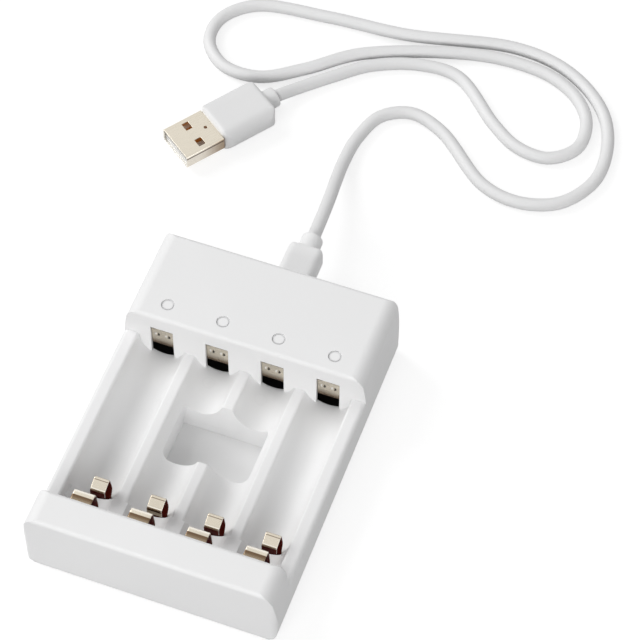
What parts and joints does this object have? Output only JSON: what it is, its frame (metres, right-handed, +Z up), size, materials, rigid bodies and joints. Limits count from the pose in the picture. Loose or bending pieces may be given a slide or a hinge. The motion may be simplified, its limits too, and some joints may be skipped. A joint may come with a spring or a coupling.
{
  "type": "aa battery charger",
  "caption": "Flat white charger with open bays for AA or AAA cells, spring contacts, indicator lamps, a finger opening and a plug-in white USB lead.",
  "frame": {"origin": "middle of the charger's underside, without the lead", "axes": "+X across the bays, +Y along the bays to the head where the lead plugs in, +Z up"},
  "size_m": [0.1187, 0.1966, 0.0216],
  "materials": {
    "shell_white": "smooth satin gloss white",
    "screw_steel": "zinc plated",
    "board_green": "solder mask",
    "chip_black": "moulded",
    "can_metal": "sleeved can",
    "led_body": "clear lens",
    "pipe_milky": "milky, shines softly",
    "contact_nickel": "nickel plated spring sheet",
    "wire_black": "insulated",
    "socket_metal": "stamped",
    "lead_white": "soft satin white",
    "tongue_white": "moulded",
    "pin_gold": "gold plated"
  },
  "bodies": {
    "charger": {"upper_housing": "shell_white", "bottom_cover": "shell_white", "cover_screws": "screw_steel", "circuit_board": "board_green", "charge_controller": "chip_black", "current_regulators": "chip_black", "smoothing_capacitor": "can_metal", "status_leds": "led_body", "light_pipe_1": "pipe_milky", "light_pipe_2": "pipe_milky", "light_pipe_3": "pipe_milky", "light_pipe_4": "pipe_milky", "plus_contact_1": "contact_nickel", "plus_contact_2": "contact_nickel", "plus_contact_3": "contact_nickel", "plus_contact_4": "contact_nickel", "return_strap": "contact_nickel", "return_wire": "wire_black", "input_socket": "socket_metal", "socket_tongue": "chip_black"},
    "lead": {"small_plug_shell": "socket_metal", "small_plug_grip": "lead_white", "cord": "lead_white", "large_plug_grip": "lead_white", "large_plug_shell": "contact_nickel", "large_plug_tongue": "tongue_white", "large_plug_pins": "pin_gold"},
    "large_leaf_1": {"large_cell_leaf_1": "contact_nickel"},
    "small_leaf_1": {"small_cell_leaf_1": "contact_nickel"},
    "large_leaf_2": {"large_cell_leaf_2": "contact_nickel"},
    "small_leaf_2": {"small_cell_leaf_2": "contact_nickel"},
    "large_leaf_3": {"large_cell_leaf_3": "contact_nickel"},
    "small_leaf_3": {"small_cell_leaf_3": "contact_nickel"},
    "large_leaf_4": {"large_cell_leaf_4": "contact_nickel"},
    "small_leaf_4": {"small_cell_leaf_4": "contact_nickel"}
  },
  "joints": [
    {"name": "large_leaf_push_1", "type": "slide", "parent": "charger", "child": "large_leaf_1", "axis": [0, -1, 0], "range_m": [0, 0.0015], "stiffness_N_per_m": 1500},
    {"name": "small_leaf_push_1", "type": "slide", "parent": "charger", "child": "small_leaf_1", "axis": [0, -1, 0], "range_m": [0, 0.001], "stiffness_N_per_m": 1500},
    {"name": "large_leaf_push_2", "type": "slide", "parent": "charger", "child": "large_leaf_2", "axis": [0, -1, 0], "range_m": [0, 0.0015], "stiffness_N_per_m": 1500},
    {"name": "small_leaf_push_2", "type": "slide", "parent": "charger", "child": "small_leaf_2", "axis": [0, -1, 0], "range_m": [0, 0.001], "stiffness_N_per_m": 1500},
    {"name": "large_leaf_push_3", "type": "slide", "parent": "charger", "child": "large_leaf_3", "axis": [0, -1, 0], "range_m": [0, 0.0015], "stiffness_N_per_m": 1500},
    {"name": "small_leaf_push_3", "type": "slide", "parent": "charger", "child": "small_leaf_3", "axis": [0, -1, 0], "range_m": [0, 0.001], "stiffness_N_per_m": 1500},
    {"name": "large_leaf_push_4", "type": "slide", "parent": "charger", "child": "large_leaf_4", "axis": [0, -1, 0], "range_m": [0, 0.0015], "stiffness_N_per_m": 1500},
    {"name": "small_leaf_push_4", "type": "slide", "parent": "charger", "child": "small_leaf_4", "axis": [0, -1, 0], "range_m": [0, 0.001], "stiffness_N_per_m": 1500},
    {"name": "lead_unplug", "type": "slide", "parent": "charger", "child": "lead", "axis": [0, 1, 0], "range_m": [0, 0.007]}
  ]
}
